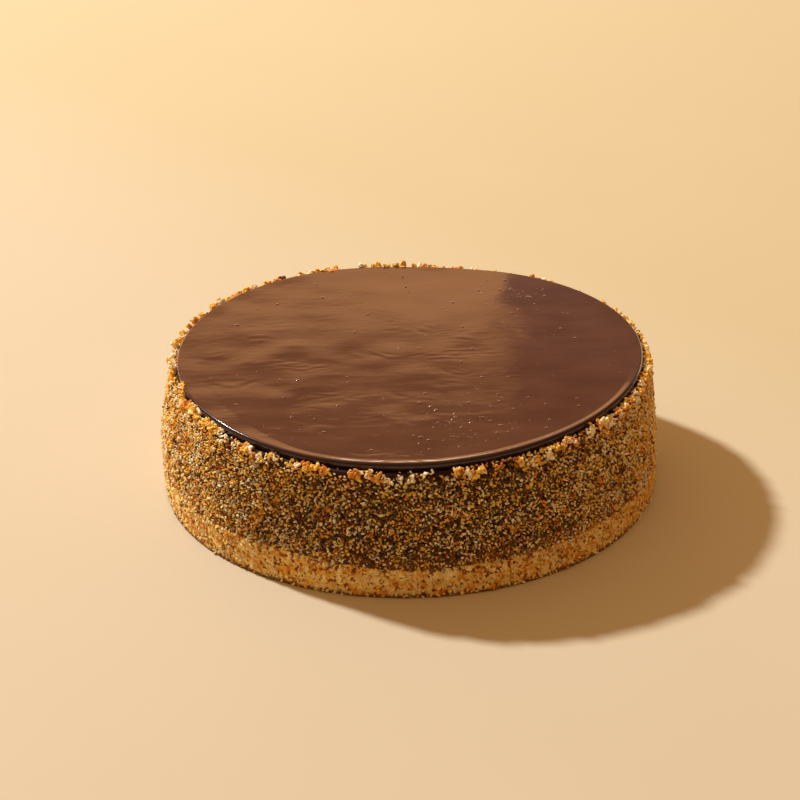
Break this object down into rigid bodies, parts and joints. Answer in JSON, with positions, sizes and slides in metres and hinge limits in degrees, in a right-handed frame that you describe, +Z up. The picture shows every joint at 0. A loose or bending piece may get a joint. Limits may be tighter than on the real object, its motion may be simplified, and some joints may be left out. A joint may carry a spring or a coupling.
{
  "type": "chocolate glazed tres leches cake",
  "caption": "Round uncut cake with a glossy chocolate glaze on top, a side coated with golden sponge crumbs and a paler crumb layer at the foot.",
  "frame": {"origin": "middle of the cake's flat underside, on the surface it stands on", "axes": "+Z up along the cake's own axis; -Y is the side towards the camera and +X is to its right"},
  "size_m": [0.2023, 0.2022, 0.054],
  "materials": {
    "crumb_coat": "rough coat of cream, golden and brown sponge crumbs pressed into dark chocolate",
    "chocolate_glaze": "smooth, mirror-like dark chocolate glaze with faint spatula streaks and pinholes",
    "golden_crumb": "dense pale golden sponge crumbs with orange-brown specks"
  },
  "bodies": {
    "root": {"cake_body": "crumb_coat", "chocolate_glaze": "chocolate_glaze", "foot_layer": "golden_crumb"}
  },
  "joints": []
}
